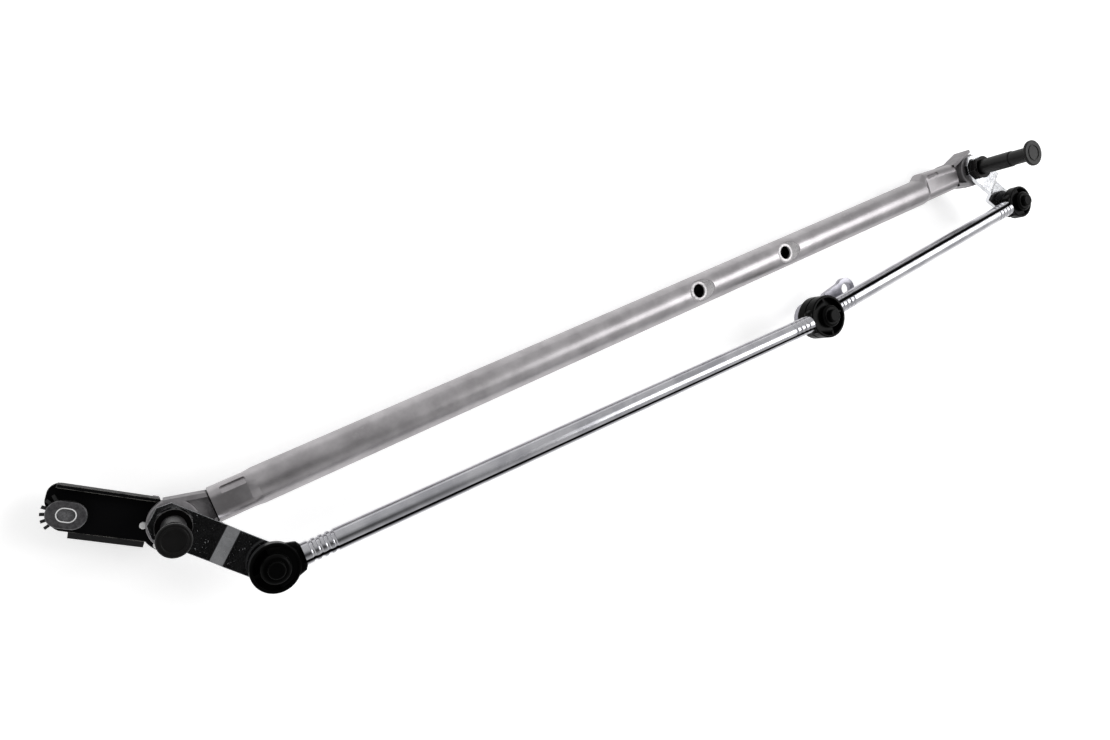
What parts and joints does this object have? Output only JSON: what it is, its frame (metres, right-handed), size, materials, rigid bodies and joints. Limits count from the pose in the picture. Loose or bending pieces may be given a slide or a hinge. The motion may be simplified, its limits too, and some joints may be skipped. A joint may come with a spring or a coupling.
{
  "type": "wiper linkage",
  "caption": "Windscreen wiper linkage: a frame tube between two pivot housings, two spindle levers joined by two rods, and a motor crank arm.",
  "frame": {"origin": "on the frame tube's axis, midway between its two motor bolt holes", "axes": "+X along the tube to the right spindle, +Z along the spindles towards their wiper arm ends, +Y across the tube away from the rods"},
  "size_m": [0.7863, 0.1139, 0.094],
  "materials": {
    "tube_steel": "satin zinc-plated steel tube, fine length-wise draw lines",
    "cast_aluminium": "matt as-cast aluminium, fine grain",
    "sintered_bronze": "dull sintered bronze",
    "washer_steel": "bright flat steel",
    "spindle_steel": "turned steel",
    "spring_steel": "blackened spring steel",
    "zinc_plate": "bright zinc-plated pressed steel",
    "rod_zinc": "bright zinc-plated rolled strip",
    "black_polymer": "black coated steel nut, semi-matt",
    "cap_plastic": "dark brown-black moulded plastic, satin",
    "socket_plastic": "black moulded plastic, satin",
    "black_rubber": "matt black rubber",
    "bracket_paint": "black coated sheet steel, worn grey at its edges",
    "rivet_steel": "dull steel",
    "sleeve_steel": "worn grey steel"
  },
  "bodies": {
    "frame": {"frame_tube": "tube_steel", "left_pivot_housing": "cast_aluminium", "left_upper_bearing": "sintered_bronze", "left_lower_bearing": "sintered_bronze", "left_thrust_washer": "washer_steel", "left_foot_washer": "washer_steel", "right_pivot_housing": "cast_aluminium", "right_upper_bearing": "sintered_bronze", "right_lower_bearing": "sintered_bronze", "right_thrust_washer": "washer_steel", "right_foot_washer": "washer_steel", "support_bracket": "bracket_paint", "bracket_rivets": "rivet_steel", "bracket_grommet": "black_rubber", "grommet_sleeve": "sleeve_steel"},
    "left_spindle_set": {"left_spindle": "spindle_steel", "left_circlip": "spring_steel", "left_lever": "zinc_plate", "left_lever_nut": "black_polymer", "left_lock_washer": "washer_steel", "left_ball_pin": "spindle_steel"},
    "right_spindle_set": {"right_spindle": "spindle_steel", "right_circlip": "spring_steel", "right_lever": "zinc_plate", "right_lever_nut": "black_polymer", "right_lock_washer": "washer_steel", "right_ball_pin": "spindle_steel"},
    "long_rod": {"long_rod_tube": "rod_zinc", "long_rod_left_socket": "socket_plastic", "long_rod_mid_socket": "socket_plastic", "long_rod_left_seal": "black_rubber"},
    "short_rod": {"short_rod_tube": "rod_zinc", "short_rod_mid_socket": "socket_plastic", "short_rod_right_socket": "socket_plastic", "short_rod_mid_seal": "black_rubber", "short_rod_right_seal": "black_rubber"},
    "crank": {"crank_arm": "zinc_plate", "crank_ball_pin": "spindle_steel"},
    "left_cap": {"left_spindle_cap": "cap_plastic"},
    "right_cap": {"right_spindle_cap": "cap_plastic"}
  },
  "joints": [
    {"name": "left_spindle_turn", "type": "hinge", "parent": "frame", "child": "left_spindle_set", "pos_m": [-0.412, 0, 0], "axis": [0, 0, 1], "range_deg": [-88, 5]},
    {"name": "right_spindle_turn", "type": "hinge", "parent": "frame", "child": "right_spindle_set", "pos_m": [0.268, 0, 0], "axis": [0, 0, 1], "range_deg": [-88, 5]},
    {"name": "long_rod_swing", "type": "hinge", "parent": "left_spindle_set", "child": "long_rod", "pos_m": [-0.37526, -0.04226, 0.021], "axis": [0, 0, 1], "range_deg": [-5, 88]},
    {"name": "short_rod_swing", "type": "hinge", "parent": "right_spindle_set", "child": "short_rod", "pos_m": [0.30474, -0.04226, 0.013], "axis": [0, 0, 1], "range_deg": [-5, 88]},
    {"name": "crank_turn", "type": "hinge", "parent": "long_rod", "child": "crank", "pos_m": [0.0471, -0.055, 0.021], "axis": [0, 0, 1], "range_deg": [-219, 22]},
    {"name": "left_cap_pull", "type": "slide", "parent": "left_spindle_set", "child": "left_cap", "axis": [0, 0, 1], "range_m": [0, 0.045]},
    {"name": "right_cap_pull", "type": "slide", "parent": "right_spindle_set", "child": "right_cap", "axis": [0, 0, 1], "range_m": [0, 0.045]}
  ],
  "couplings": [
    {"joint": "right_spindle_turn", "follows": "left_spindle_turn", "ratio": 1},
    {"joint": "long_rod_swing", "follows": "left_spindle_turn", "ratio": -1},
    {"joint": "short_rod_swing", "follows": "left_spindle_turn", "ratio": -1}
  ]
}
